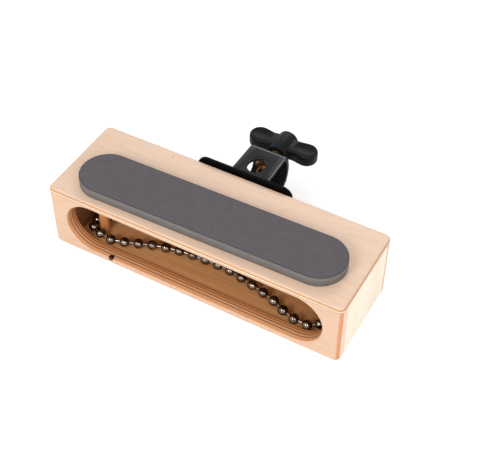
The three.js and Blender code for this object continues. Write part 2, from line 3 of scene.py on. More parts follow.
import bmesh
import bpy
from bpy.props import FloatProperty, FloatVectorProperty, PointerProperty
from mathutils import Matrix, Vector


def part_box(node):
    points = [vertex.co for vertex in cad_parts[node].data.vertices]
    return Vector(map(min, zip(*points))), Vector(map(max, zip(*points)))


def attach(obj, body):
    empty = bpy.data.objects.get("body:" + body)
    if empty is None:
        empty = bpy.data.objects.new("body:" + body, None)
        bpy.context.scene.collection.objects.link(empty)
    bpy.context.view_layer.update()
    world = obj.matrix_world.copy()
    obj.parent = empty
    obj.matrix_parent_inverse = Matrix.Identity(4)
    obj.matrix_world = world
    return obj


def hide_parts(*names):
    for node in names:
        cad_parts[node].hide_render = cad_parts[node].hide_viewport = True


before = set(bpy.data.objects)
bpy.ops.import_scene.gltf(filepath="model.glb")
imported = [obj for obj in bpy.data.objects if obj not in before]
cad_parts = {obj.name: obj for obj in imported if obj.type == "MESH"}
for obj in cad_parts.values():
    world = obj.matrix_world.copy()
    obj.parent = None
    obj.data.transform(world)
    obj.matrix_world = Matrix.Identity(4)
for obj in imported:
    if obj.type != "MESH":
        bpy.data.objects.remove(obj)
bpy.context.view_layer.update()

bl_info = {
    "name": "Hand clap block",
    "version": (1, 0, 0),
    "blender": (4, 5, 0),
    "location": "View3D > Sidebar > Clap Block",
    "description": "Dresses the wooden slot box, its strike pad, ball chain and rod clamp",
    "category": "Object",
}

MM = 0.001


def box_mm(node):
    """Lowest and highest corner of a CAD node, in millimetres."""
    low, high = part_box(node)
    return low / MM, high / MM


TOP_LOW, TOP_HIGH = box_mm("top_plate")
FRONT_LOW, FRONT_HIGH = box_mm("front_panel")
PAD_LOW, PAD_HIGH = box_mm("strike_pad")
PLATE_LOW, PLATE_HIGH = box_mm("mount_plate")
STRAP_LOW, STRAP_HIGH = box_mm("rod_strap")
STUD_LOW, STUD_HIGH = box_mm("wing_stud")
KNOB_LOW, KNOB_HIGH = box_mm("wing_knob")
AXIS_Z = (STUD_LOW.z + STUD_HIGH.z) / 2
LINKS = sorted(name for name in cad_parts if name.startswith("chain_link_"))
SCREWS = [f"plate_screw_{row}_{side}" for row in ("upper", "lower") for side in ("left", "right")]

# The plies of each board, from one face to the other: places in millimetres and shades.
TOP_PLIES = [
    (45.0, "brown"), (45.3, "brown"), (45.7, "pale"), (46.1, "pale"), (46.5, "brown"), (47.25, "brown"),
    (47.7, "face"), (48.0, "face"),
]
FRONT_PLIES = [
    (-34.0, "face"), (-33.75, "face"), (-33.4, "rose"), (-31.9, "rose"), (-31.4, "blush"), (-30.1, "blush"),
    (-29.8, "pink"), (-29.4, "pink"), (-29.1, "blush"), (-27.5, "blush"), (-27.2, "pink"), (-26.8, "pink"),
    (-26.5, "cream"), (-25.0, "cream"),
]
# In the routed slot the plies are darker than at the ends, partly as bare cut wood and partly as painted
# shade, with painted shade along the slot's inner edge.
SLOT_PLIES_SHADED = [
    (-34.0, "face"), (-33.75, "face"), (-33.4, "lip"), (-32.6, "lip"), (-32.3, "cut"), (-31.3, "cut"),
    (-31.0, "umber"), (-30.4, "umber"), (-30.1, "cut"), (-29.2, "cut"), (-28.9, "umber"), (-28.2, "umber"),
    (-27.9, "lip"), (-27.1, "lip"), (-26.8, "umber"), (-26.1, "umber"), (-25.8, "lip"), (-25.0, "umber"),
]
BACK_PLIES = [
    (28.0, "brown"), (29.2, "brown"), (29.5, "pale"), (31.4, "pale"), (31.7, "brown"), (33.3, "brown"),
    (33.6, "face"), (34.0, "face"),
]
SLOT_FADE = (92.5, 94.0)
PLY_WAVE = 0.03
GLUE_GAP = 0.02


def millimetres(name, description, default):
    """A length in millimetres that the maker may change."""
    return FloatProperty(name=name, description=description, default=default, min=0.0, precision=2)


def linear(hex_colour):
    """An sRGB hex colour as the linear red, green, blue and alpha that the shader takes."""
    parts = [int(hex_colour[i:i + 2], 16) / 255 for i in (0, 2, 4)]
    return tuple(p / 12.92 if p <= 0.04045 else ((p + 0.055) / 1.055) ** 2.4 for p in parts) + (1.0,)


def colour(name, description, hex_colour):
    """A colour that the maker may change, given as sRGB hex."""
    return FloatVectorProperty(
        name=name, description=description, subtype="COLOR", size=4, min=0.0, max=1.0,
        default=linear(hex_colour),
    )


class BoxSizes(bpy.types.PropertyGroup):
    corner: millimetres("Corner", "Radius of the box's upright corners", 4.0)
    top_round: millimetres("Top rounding", "Radius of the rim round the top face", 1.75)
    bottom_round: millimetres("Bottom rounding", "Radius of the rim round the underside", 2.75)
    slot_from_end: millimetres("Slot from end", "Wood left at each end of the slot", 12.5)
    slot_sill: millimetres("Sill", "Wood left under the slot", 5.5)
    slot_head: millimetres("Head rail", "Wood left over the slot, up to the top board", 2.2)
    slot_round: millimetres("Slot lip", "Radius of the routed lip of the slot", 1.5)
    dowel_round: millimetres("Dowel rounding", "Radius of the dowels' rims", 0.35)
    void_place: FloatProperty(
        name="Void", description="Place along the slot of the small void in its lower lip, in millimetres",
        default=-59.0,
    )
    void_width: millimetres("Void width", "Width of the void", 3.0)
    void_front: millimetres("Void front", "Wood left in front of the void", 0.5)
    void_back: millimetres("Void back", "Back of the void, from the board's face", 2.3)
    void_depth: millimetres("Void depth", "Depth of the void under the slot's edge", 3.4)
    void_round: millimetres("Void rounding", "Radius of the void's edges", 0.4)


class PadSizes(bpy.types.PropertyGroup):
    length: millimetres("Length", "Length of the foam pad", 181.4)
    width: millimetres("Width", "Width of the foam pad, with fully round ends", 35.5)
    edge: millimetres("Edge", "Softness of the pad's upper edge", 0.7)
    foot: millimetres("Foot", "Softness of the pad's lower edge", 1.0)
    crown: millimetres("Crown", "How much lower the pad is at its rim than in its middle", 0.35)
    turn: FloatProperty(
        name="Turn", description="How far the pad is glued on skew", subtype="ANGLE",
        default=math.radians(1.0),
    )


class ChainSizes(bpy.types.PropertyGroup):
    ball: millimetres("Ball", "Diameter of one chain ball", 6.7)
    mouth: millimetres("Mouth", "Diameter of the holes that the pins go through", 2.5)
    lip: millimetres("Lip", "Width of the rolled lip of each mouth", 0.3)
    tuck: millimetres("Tuck", "How deep the lip is rolled in", 0.5)
    pin: millimetres("Pin", "Diameter of the link pins", 1.05)
    grip: millimetres("Grip", "How far a pin reaches into the next ball", 0.7)
    wall: millimetres("Wall", "Thickness of the ball's sheet", 0.45)


class ClampSizes(bpy.types.PropertyGroup):
    plate_corner: millimetres("Plate corner", "Radius of the plate's corners", 7.0)
    plate_edge: millimetres("Plate edge", "Rounding of the plate's outer edge", 0.8)
    screw_hole: millimetres("Screw hole", "Diameter of the plate's screw holes", 4.1)
    head: millimetres("Screw head", "Diameter of the plate screws' pan heads", 7.2)
    head_round: millimetres("Head rounding", "Rounding of the pan heads", 1.5)
    shank: millimetres("Shank", "Diameter of the plate screws' shanks", 3.5)
    recess_length: millimetres("Recess length", "Length of the cross recess", 4.2)
    recess_width: millimetres("Recess width", "Width of the cross recess", 1.0)
    recess_depth: millimetres("Recess depth", "Depth of the cross recess", 1.6)
    bar: millimetres("Bar", "Thickness of the strap's flat bar", 2.5)
    bend: millimetres("Bend", "Radius of the bend between leaf and web", 2.0)
    bulge: millimetres("Bulge", "How far the strap's web bows out", 4.0)
    neck: millimetres("Neck", "Width of the strap at its web", 25.0)
    gusset: millimetres("Gusset", "How far the fillets at the strap's foot reach", 6.5)
    gusset_rise: millimetres("Gusset rise", "Height of the fillets at the strap's foot", 2.9)
    hole_width: millimetres("Rod hole width", "Width of the hole for the rod", 12.4)
    hole_depth: millimetres("Rod hole depth", "Depth of the hole for the rod", 14.0)
    hole_from_plate: millimetres("Rod hole from plate", "Middle of the rod hole from the plate", 14.5)
    bore: millimetres("Bore", "Diameter of the bore for the wing screw", 8.6)
    bore_start: millimetres("Bore start", "Start of the bore, from the block's middle", 52.0)
    strap_edge: millimetres("Strap edge", "Rounding of the strap's edges", 0.45)
    thread: millimetres("Thread", "Pitch of the wing screw's thread", 1.25)
    hub: millimetres("Hub", "Diameter of the knob's hub", 14.5)
    hub_round: millimetres("Hub rounding", "Rounding of the hub's outer end", 1.6)
    wing_front: millimetres("Wing front", "Start of the wings behind the hub's inner end", 3.2)
    wing_depth: millimetres("Wing depth", "Depth of the wings along the screw", 15.0)
    wing_thickness: millimetres("Wing thickness", "Thickness of the wings", 9.0)
    wing_waist: millimetres("Wing waist", "How far each wing draws in next to the hub", 1.1)
    wing_round: millimetres("Wing rounding", "Rounding of the wings' rims", 2.0)
    dish_place: millimetres("Dish place", "Middle of the thumb dishes, from the screw", 16.2)
    dish_length: millimetres("Dish length", "Length of the thumb dishes", 15.5)
    dish_width: millimetres("Dish width", "Width of the thumb dishes", 11.8)
    dish_depth: millimetres("Dish depth", "Depth of the thumb dishes", 1.7)
    knob_edge: millimetres("Knob edge", "Rounding of the knob's remaining edges", 0.35)


class WoodColours(bpy.types.PropertyGroup):
    face: colour("Face veneer", "Birch veneer of the top face", "e2c3aa")
    front: colour("Front veneer", "Birch veneer of the front and back boards", "d9b498")
    grain: colour("Grain", "What streaks, rings and flecks darken the veneer towards", "b98764")
    pale_ply: colour("Pale ply", "Long-grain plies in the boards' edges", "f8e0c8")
    brown_ply: colour("Brown ply", "Cross plies in the boards' edges", "c08e62")
    rose_ply: colour("Rose ply", "First cross ply at the boards' ends", "cf8f62")
    blush_ply: colour("Blush ply", "Long-grain plies at the front board's ends", "f2d0ba")
    pink_ply: colour("Pink ply", "Glue lines at the boards' ends", "e6b399")
    # The slot's ply colours hold painted shade as well as the bare wood's own tone.
    cut_ply: colour("Cut ply", "Long-grain plies in the routed slot", "dfa97d")
    lip_ply: colour("Lip ply", "Cross plies in the routed slot", "d0905c")
    umber_ply: colour("Umber ply", "Glue lines in the routed slot", "99623c")
    # Painted shade in the void.
    void: colour("Void", "Bare wood in the shade of the void", "1c0e08")
    cream: colour("Cream wood", "Lime wood of the end blocks", "fcf0dd")
    cream_dark: colour("Cream wood, dark", "Late wood of the end blocks", "ecd5b6")
    floor: colour("Floor wood", "Bare wood of the box's floor", "c8925f")
    floor_dark: colour("Floor wood, dark", "Dark fibres of the box's floor", "a06a40")
    # Painted shade: the dark brown that the end blocks' faces inside the box take.
    inner: colour("Inner wood", "Bare wood of the end blocks inside the box", "70452b")
    dowel: colour("Dowel wood", "Bare wood of the two dowels", "dc955c")
    dowel_dark: colour("Dowel wood, dark", "Dark fibres of the two dowels", "a9683a")


class FittingColours(bpy.types.PropertyGroup):
    foam: colour("Foam", "Skin of the strike pad's foam", "595458")
    # The cut side is lighter partly for its open cells and partly as painted light; the upper edge's dark
    # line is painted shade.
    foam_side_lit: colour("Foam side", "Cut side of the strike pad's foam", "6f6b68")
    foam_rim_shade: colour("Foam rim", "Upper edge of the strike pad", "3f3c3c")
    powder: colour("Powder coat", "Powder coat of the strap", "202123")
    # Painted highlight: the light grey laid on the strap's upper edges and the top of its outer sides.
    powder_highlight: colour("Powder coat edge", "Powder coat where it draws thin over an edge", "b9b3b6")
    plate: colour("Plate", "Powder coat of the plate and its screws", "060505")
    plastic: colour("Plastic", "Moulded plastic of the wing knob", "131314")
    zinc: colour("Yellow zinc", "Chromated zinc of the nut and stud", "8f6740")
    zinc_dark: colour("Yellow zinc, dark", "Thick patches of the chromate", "5e3f22")
    zinc_light: colour("Yellow zinc, light", "Thin patches of the chromate", "b08a5c")
    nickel: colour("Dark nickel", "Dark nickel plate of the chain", "75695f")
    nickel_dark: colour("Dark nickel, dark", "Dark nickel where nothing rubs it", "574c43")
    nickel_light: colour("Dark nickel, light", "Dark nickel where balls rub it", "a2958a")
    pins: colour("Pins", "Bright nickel plate of the link pins", "aaa49d")
    floor: colour("Studio floor", "Paper that the block stands on", "f4f4f4")


def rest():
    """Leaves edit mode and deselects everything."""
    if bpy.context.object and bpy.context.object.mode != "OBJECT":
        bpy.ops.object.mode_set(mode="OBJECT")
    bpy.ops.object.select_all(action="DESELECT")


def take(obj):
    """Leaves edit mode and makes one object the only selected and active one."""
    rest()
    obj.select_set(True)
    bpy.context.view_layer.objects.active = obj


def settle(name):
    """Names the active object and bakes its place, turn and scale into its mesh."""
    obj = bpy.context.object
    obj.name = name
    bpy.ops.object.transform_apply(location=True, rotation=True, scale=True)
    return obj


def cube(name, low, high):
    """A box between two corners in millimetres, as the stock that a piece is cut from."""
    rest()
    low, high = Vector(low) * MM, Vector(high) * MM
    bpy.ops.mesh.primitive_cube_add(size=1, location=(low + high) / 2)
    bpy.context.object.scale = high - low
    return settle(name)


def rod(name, radius, low, high, axis="Y", at=(0, 0, 0), sides=48):
    """Round stock in millimetres from low to high along an axis through a point."""
    rest()
    place = Vector(at)
    place["XYZ".index(axis)] = (low + high) / 2
    turn = {"X": (0, math.pi / 2, 0), "Y": (math.pi / 2, 0, 0), "Z": (0, 0, 0)}[axis]
    bpy.ops.mesh.primitive_cylinder_add(
        vertices=sides, radius=radius * MM, depth=(high - low) * MM, location=place * MM, rotation=turn,
    )
    return settle(name)


def stadium(name, length, width, low, high, axis, at, sides):
    """Flat stock with half-round ends: round stock whose two halves are drawn apart along X."""
    obj = rod(name, width / 2, low, high, axis, (0, 0, 0), sides)
    turn_all(obj, math.pi / sides, axis)
    for side in (1, -1):
        pick(obj, "verts", lambda v: v.co.x * side > 0)
        bpy.ops.transform.translate(value=(side * (length - width) / 2 * MM, 0, 0))
    move_all(obj, at)
    return obj


def outline_from(name, start, steps):
    """An open outline: a plane merged to one point in millimetres, then extruded step by step."""
    rest()
    bpy.ops.mesh.primitive_plane_add(size=MM)
    obj = bpy.context.object
    obj.name = name
    bpy.ops.object.mode_set(mode="EDIT")
    bpy.ops.mesh.select_mode(type="VERT")
    bpy.ops.mesh.select_all(action="SELECT")
    bpy.ops.mesh.merge(type="CENTER")
    bpy.ops.transform.translate(value=Vector(start) * MM)
    for step in steps:
        bpy.ops.mesh.extrude_region_move(TRANSFORM_OT_translate={"value": Vector(step) * MM})
    return obj


def pick(obj, kind, test):
    """In edit mode, selects just the vertices, edges or faces that pass a test."""
    take(obj)
    bpy.ops.object.mode_set(mode="EDIT")
    bpy.ops.mesh.select_mode(type={"verts": "VERT", "edges": "EDGE", "faces": "FACE"}[kind])
    bpy.ops.mesh.select_all(action="DESELECT")
    mesh = bmesh.from_edit_mesh(obj.data)
    mesh.normal_update()
    found = [element for element in getattr(mesh, kind) if test(element)]
    if not found:
        raise RuntimeError(f"{obj.name}: nothing to select")
    for element in found:
        element.select_set(True)
    mesh.select_flush_mode()
    bmesh.update_edit_mesh(obj.data)


def turn_all(obj, angle, axis, centre=(0, 0, 0)):
    """Turns all of a mesh about an axis through a point in millimetres."""
    pick(obj, "verts", lambda v: True)
    bpy.ops.transform.rotate(
        value=angle, orient_axis=axis, orient_type="GLOBAL", center_override=tuple(Vector(centre) * MM),
    )


def move_all(obj, offset):
    """Moves all of a mesh by an offset in millimetres."""
    pick(obj, "verts", lambda v: True)
    bpy.ops.transform.translate(value=Vector(offset) * MM)


def along(edge, axis):
    """Whether an edge runs along an axis."""
    run = edge.verts[1].co - edge.verts[0].co
    return run.length > 0 and abs(run["XYZ".index(axis)]) > 0.999 * run.length


def near(value, wanted, slack=0.02):
    """Whether a place in metres is at a wanted one in millimetres."""
    return abs(value / MM - wanted) < slack


def bevel(width, segments):
    """Rounds the selected edges."""
    bpy.ops.mesh.bevel(
        offset=width * MM, offset_type="OFFSET", segments=segments, profile=0.5, affect="EDGES",
    )


def round_rim(obj, axis, side, width, segments):
    """Rounds the rim of the flat faces that look along an axis, to one side of it, or to both with 0."""
    index = "XYZ".index(axis)
    pick(obj, "faces", lambda f: (f.normal[index] * side if side else abs(f.normal[index])) > 0.99)
    bpy.ops.mesh.region_to_loop()
    bevel(width, segments)


def modify(obj, kind, **settings):
    """Gives a piece a modifier, sets it and applies it."""
    take(obj)
    made = obj.modifiers.new(kind, kind)
    for name, value in settings.items():
        setattr(made, name, value)
    bpy.ops.object.modifier_apply(modifier=made.name)


def combine(obj, operation, *others):
    """Cuts other solids out of a piece, joins them to it or keeps what they share, and throws them away."""
    for other in others:
        modify(obj, "BOOLEAN", operation=operation, solver="EXACT", object=other)
        bpy.data.objects.remove(other, do_unlink=True)


def soften(obj, width, segments):
    """Breaks the sharp edges of a piece, as handling and finishing do."""
    modify(
        obj, "BEVEL", width=width * MM, segments=segments, limit_method="ANGLE", angle_limit=math.radians(40),
    )


def slice_at(obj, place, normal, trim=False):
    """Cuts a piece by a plane at a place in millimetres; trim throws the far side away and closes the cut."""
    pick(obj, "verts", lambda v: True)
    bpy.ops.mesh.bisect(
        plane_co=Vector(place) * MM, plane_no=normal, use_fill=trim, clear_outer=trim, threshold=1e-7,
    )


def join(obj, other):
    """Makes two meshes one, without a weld."""
    take(obj)
    other.select_set(True)
    bpy.ops.object.join()


def copy_of(obj):
    """A copy of a piece with a mesh of its own."""
    take(obj)
    bpy.ops.object.duplicate(linked=False)
    return bpy.context.object


def clean(obj, angle):
    """Merges doubles, turns the faces outwards and shades round faces smooth."""
    pick(obj, "verts", lambda v: True)
    bpy.ops.mesh.remove_doubles(threshold=0.004 * MM)
    bpy.ops.mesh.normals_make_consistent(inside=False)
    bpy.ops.object.mode_set(mode="OBJECT")
    bpy.ops.object.shade_smooth_by_angle(angle=math.radians(angle))


def dress(obj, material, body, slot, *nodes):
    """Gives a finished piece its material and its body, and hides the CAD nodes it stands for; the slot is
    not used.
    """
    rest()
    obj.data.materials.clear()
    obj.data.materials.append(material)
    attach(obj, body)
    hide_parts(*nodes)


def repaint(node, material):
    """Gives a carried-over CAD node its material."""
    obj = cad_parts[node]
    for slot in obj.material_slots:
        slot.material = material
    if not obj.material_slots:
        obj.data.materials.append(material)


def add_node(tree, kind, sockets=(), output=0, **settings):
    """Adds a node and gives one of its outputs. Sockets are filled by name or number, or in their own order,
    as value, from min, from max, to min and to max are for a map range; other nodes' outputs are linked."""
    made = tree.nodes.new(kind)
    for name, value in settings.items():
        if name == "stops":
            ramp = made.color_ramp
            while len(ramp.elements) > 1:
                ramp.elements.remove(ramp.elements[-1])
            for i, (place, shade) in enumerate(value):
                stop = ramp.elements[0] if i == 0 else ramp.elements.new(place)
                stop.position = place
                stop.color = shade
        else:
            setattr(made, name, value)
    for name, value in (sockets.items() if isinstance(sockets, dict) else enumerate(sockets)):
        if isinstance(value, bpy.types.NodeSocket):
            tree.links.new(value, made.inputs[name])
        else:
            made.inputs[name].default_value = value
    return made.outputs[output] if made.outputs else None


def new_material(name, **constants):
    """An empty material with one shader, its constants set on the shader's own sockets."""
    material = bpy.data.materials.new(name)
    material.use_nodes = True
    tree = material.node_tree
    tree.nodes.clear()
    sockets = {key.replace("_", " "): value for key, value in constants.items()}
    surface = add_node(tree, "ShaderNodeBsdfPrincipled", sockets)
    add_node(tree, "ShaderNodeOutputMaterial", (surface,))
    return material, tree, surface.node


def grey(value):
    """A grey with full alpha."""
    return (value, value, value, 1.0)


def coordinate(tree, space, axis):
    """One axis of the object's own coordinates, or of its normal."""
    return add_node(
        tree, "ShaderNodeSeparateXYZ", (add_node(tree, "ShaderNodeTexCoord", output=space),), axis,
    )


def grain_space(tree, *scale_mm):
    """Object coordinates in which one unit is the given length in millimetres, alike or on each axis."""
    scale = tuple(1 / (length * MM) for length in (scale_mm if len(scale_mm) > 1 else scale_mm * 3))
    place = add_node(tree, "ShaderNodeTexCoord", output="Object")
    return add_node(tree, "ShaderNodeMapping", {"Vector": place, "Scale": scale})


def dapple(tree, space, spread, shares, **noise):
    """A noise field, and the share of light that it leaves as it goes through a spread of values."""
    field = add_node(tree, "ShaderNodeTexNoise", {"Vector": space, "Scale": 1.0, **noise})
    return field, add_node(tree, "ShaderNodeMapRange", (field, *spread, *shares))


def within(tree, inner, outer):
    """A mask along X: one up to the first distance from the middle, nought past the second, in mm."""
    away = add_node(tree, "ShaderNodeMath", (coordinate(tree, "Object", "X"),), operation="ABSOLUTE")
    return add_node(tree, "ShaderNodeMapRange", (away, inner * MM, outer * MM, 1.0, 0.0))


def seen(tree):
    """One for the rays that the camera, a reflection or glass sends out, nought for the light they gather."""
    path = add_node(tree, "ShaderNodeLightPath").node.outputs
    mirrored = add_node(
        tree, "ShaderNodeMath", (path["Is Camera Ray"], path["Is Glossy Ray"]), operation="MAXIMUM",
    )
    return add_node(tree, "ShaderNodeMath", (mirrored, path["Is Transmission Ray"]), operation="MAXIMUM")


def cover(tree, shader, shade, share=None, field=None, rough=(), spread=(0.3, 0.7), relief=None):
    """Links up a shader: its shade times a share, a roughness that follows a field, and a fine relief."""
    if share is not None:
        shade = add_node(
            tree, "ShaderNodeMix", {0: share, 6: grey(0.0), 7: shade}, 2,
            data_type="RGBA", clamp_factor=False,
        )
    tree.links.new(shade, shader.inputs["Base Color"])
    if field is not None:
        gloss = add_node(tree, "ShaderNodeMapRange", (field, *spread, *rough))
        tree.links.new(gloss, shader.inputs["Roughness"])
    if relief is not None:
        height, strength, depth = relief
        bump = add_node(
            tree, "ShaderNodeBump", {"Height": height, "Strength": strength, "Distance": depth * MM},
        )
        tree.links.new(bump, shader.inputs["Normal"])


# Birch plywood, rotary-cut veneer under satin lacquer: soft lengthwise streaks, short brown
# flecks, a low sheen, and the plies showing as bands wherever the board's edge is cut.
def lacquered_birch(name, face, through, plies, opening=None, hollow=None):
    woods = bpy.context.scene.clap_woods
    material, tree, shader = new_material(
        name, IOR=1.5, Coat_Weight=0.12, Coat_Roughness=0.35, Specular_IOR_Level=0.4,
    )
    lowest, highest = plies[0][0], plies[-1][0]
    depth = add_node(
        tree, "ShaderNodeMapRange",
        (coordinate(tree, "Object", through), lowest * MM, highest * MM, 0.0, 1.0),
    )
    waves = add_node(
        tree, "ShaderNodeTexNoise", {"Vector": grain_space(tree, 30), "Scale": 1.0, "Detail": 1.0},
    )
    level = add_node(tree, "ShaderNodeMath", (waves, PLY_WAVE, depth), operation="MULTIPLY_ADD")
    level = add_node(tree, "ShaderNodeMath", (level, PLY_WAVE / 2), operation="SUBTRACT")
    shades = {
        kind: getattr(woods, f"{kind}_ply")
        for kind in ("pale", "brown", "rose", "blush", "pink", "cut", "lip", "umber")
    }
    shades.update(face=face, cream=woods.cream)
    bands = [
        add_node(
            tree, "ShaderNodeValToRGB", (level,),
            stops=[((at - lowest) / (highest - lowest), shades[kind]) for at, kind in edge],
        )
        for edge in (plies, opening) if edge
    ]
    ply = bands[0]
    # Inside the slot's length the darker slot plies take over, partly as painted shade.
    if opening:
        mask = within(tree, *SLOT_FADE)
        ply = add_node(tree, "ShaderNodeMix", {0: mask, 6: bands[0], 7: bands[1]}, 2, data_type="RGBA")
    streaks, shade = dapple(
        tree, grain_space(tree, 90, 2.6, 2.6), (0.3, 0.7), (0.93, 1.035),
        Detail=5.0, Roughness=0.6, Distortion=0.3,
    )
    clouds = dapple(tree, grain_space(tree, 160, 26, 26), (0.3, 0.7), (0.955, 1.03), Detail=2.0)[1]
    flecks = dapple(
        tree, grain_space(tree, 7, 0.9, 0.9), (0.27, 0.36), (0.86, 1.0), Detail=2.0, Roughness=0.5,
    )[1]
    rings = add_node(
        tree, "ShaderNodeTexNoise",
        {"Vector": grain_space(tree, 150, 17, 17), "Scale": 1.0, "Detail": 1.5, "Distortion": 0.25},
    )
    for value, operation in ((13.0, "MULTIPLY"), (0.5, "PINGPONG")):
        rings = add_node(tree, "ShaderNodeMath", (rings, value), operation=operation)
    shares = [clouds, flecks, add_node(tree, "ShaderNodeMapRange", (rings, 0.0, 0.13, 0.9, 1.0))]
    if through == "Z":
        knots = add_node(
            tree, "ShaderNodeTexVoronoi", {"Vector": grain_space(tree, 83, 57, 57), "Scale": 1.0},
            voronoi_dimensions="2D",
        )
        shares.append(add_node(tree, "ShaderNodeMapRange", (knots, 0.006, 0.014, 0.5, 1.0)))
    for share in shares:
        shade = add_node(tree, "ShaderNodeMath", (shade, share), operation="MULTIPLY")
    tint = add_node(
        tree, "ShaderNodeMix", {0: shade, 6: woods.grain, 7: grey(1.0)}, 2,
        data_type="RGBA", clamp_factor=False,
    )
    wood = add_node(
        tree, "ShaderNodeMix", {0: 1.0, 6: ply, 7: tint}, 2, data_type="RGBA", blend_type="MULTIPLY",
    )
    # Painted shade: wood within about 2 mm of the void's middle turns near black.
    if hollow:
        place = add_node(tree, "ShaderNodeTexCoord", output="Object")
        reach = add_node(
            tree, "ShaderNodeVectorMath", (place, Vector(hollow) * MM), "Value", operation="DISTANCE",
        )
        bare = add_node(tree, "ShaderNodeMapRange", (reach, 1.8 * MM, 2.1 * MM, 1.0, 0.0))
        wood = add_node(tree, "ShaderNodeMix", {0: bare, 6: wood, 7: woods.void}, 2, data_type="RGBA")
    cover(tree, shader, wood, field=streaks, rough=(0.5, 0.4), relief=(shade, 0.12, 0.3))
    return material


# Solid wood, sawn and sanded: rings or long fibres in a close shade, duller than the lacquer.
def sawn_wood(name, shade, dark, fibre_mm, roughness, contrast, inner=None, painted_shade_reach=0.0):
    material, tree, shader = new_material(name, IOR=1.5, Specular_IOR_Level=0.35)
    fibres = add_node(
        tree, "ShaderNodeTexNoise",
        {"Vector": grain_space(tree, *fibre_mm), "Scale": 1.0, "Detail": 5.0, "Roughness": 0.62,
         "Distortion": 0.4},
    )
    broad = add_node(
        tree, "ShaderNodeTexNoise",
        {"Vector": grain_space(tree, *(4 * length for length in fibre_mm)), "Scale": 1.0, "Detail": 2.0},
    )
    mixed = add_node(tree, "ShaderNodeMath", (fibres, broad), operation="ADD")
    share = add_node(tree, "ShaderNodeMapRange", (mixed, 0.7, 1.3, 0.0, contrast))
    wood = add_node(tree, "ShaderNodeMix", {0: share, 6: shade, 7: dark}, 2, data_type="RGBA")
    # Painted shade: faces at or inside the given reach from the middle take the inner colour.
    if inner:
        mask = within(tree, painted_shade_reach + 0.05, painted_shade_reach + 0.3)
        wood = add_node(tree, "ShaderNodeMix", {0: mask, 6: wood, 7: inner}, 2, data_type="RGBA")
    cover(
        tree, shader, wood, field=fibres, rough=(roughness - 0.06, roughness + 0.06),
        relief=(fibres, 0.2, 0.25),
    )
    return material


# EVA foam, closed-cell and cut from sheet: fully matt, with fine open pores of the cut cells
# and a slight mottling. The pores are 0.3 mm on the real one and drawn at 0.8 mm to show.
def cut_foam():
    colours = bpy.context.scene.clap_fittings
    material, tree, shader = new_material(
        "EVA foam, cut sheet", IOR=1.45, Specular_IOR_Level=0.2, Sheen_Weight=0.1, Sheen_Roughness=0.5,
    )
    # By facing: the cut side lighter, partly painted light; the upper edge darker as painted shade; the top
    # its skin colour.
    skin = add_node(
        tree, "ShaderNodeValToRGB", (coordinate(tree, "Normal", "Z"),),
        stops=[(0.0, colours.foam_side_lit), (0.3, colours.foam_side_lit), (0.5, colours.foam_rim_shade),
               (0.86, colours.foam_rim_shade), (0.985, colours.foam)],
    )
    # Painted shade: the foam darkens towards its foot, to 0.62 at the bottom.
    foot = add_node(
        tree, "ShaderNodeMapRange",
        (coordinate(tree, "Object", "Z"), PAD_LOW.z * MM, (PAD_LOW.z + 6) * MM, 0.62, 1.0),
    )
    pores = add_node(tree, "ShaderNodeTexVoronoi", {"Vector": grain_space(tree, 0.8), "Scale": 1.0})
    pits = add_node(tree, "ShaderNodeMapRange", (pores, 0.05, 0.45, 0.78, 1.05))
    mottle, patches = dapple(
        tree, grain_space(tree, 6), (0.3, 0.7), (0.93, 1.07), Detail=4.0, Roughness=0.6,
    )
    shade = pits
    for share in (patches, foot):
        shade = add_node(tree, "ShaderNodeMath", (shade, share), operation="MULTIPLY")
    cover(tree, shader, skin, shade, mottle, (0.82, 0.95), relief=(pits, 0.25, 0.2))
    return material


# Mild steel, powder coated black: a satin skin with a faint orange peel, 0.7 mm on the real
# one, drawn at 1.1 mm to show. Painted highlight: grey over upper edges and the top of the outer sides.
def powder_coat(name, shade, edge, level, highlight_from=0.0):
    material, tree, shader = new_material(name, IOR=1.5, Specular_IOR_Level=level)
    # Painted highlight: faces sloping between up and sideways, and the outer sides past 9 mm, take the edge
    # colour above a given height.
    drawn = add_node(
        tree, "ShaderNodeValToRGB", (coordinate(tree, "Normal", "Z"),),
        stops=[(0.2, grey(0.0)), (0.4, grey(1.0)), (0.86, grey(1.0)), (0.97, grey(0.0))],
    )
    upper = add_node(
        tree, "ShaderNodeMapRange",
        (coordinate(tree, "Object", "Z"), highlight_from * MM, (highlight_from + 0.3) * MM, 0.0, 1.0),
    )
    sideways, across = (
        add_node(tree, "ShaderNodeMath", (coordinate(tree, space, "X"),), operation="ABSOLUTE")
        for space in ("Normal", "Object")
    )
    side_highlight = add_node(tree, "ShaderNodeMath", (across, 9 * MM), operation="GREATER_THAN")
    for value in (0.7, sideways):
        side_highlight = add_node(tree, "ShaderNodeMath", (side_highlight, value), operation="MULTIPLY")
    drawn = add_node(tree, "ShaderNodeMath", (drawn, side_highlight), operation="MAXIMUM")
    drawn = add_node(tree, "ShaderNodeMath", (drawn, upper), operation="MULTIPLY")
    thin = add_node(tree, "ShaderNodeMix", {0: drawn, 6: shade, 7: edge}, 2, data_type="RGBA")
    peel = add_node(
        tree, "ShaderNodeTexNoise", {"Vector": grain_space(tree, 1.1), "Scale": 1.0, "Detail": 2.0},
    )
    dust, share = dapple(tree, grain_space(tree, 9), (0.3, 0.75), (0.85, 1.15), Detail=4.0)
    cover(tree, shader, thin, share, dust, (0.36, 0.48), relief=(peel, 0.08, 0.1))
    return material


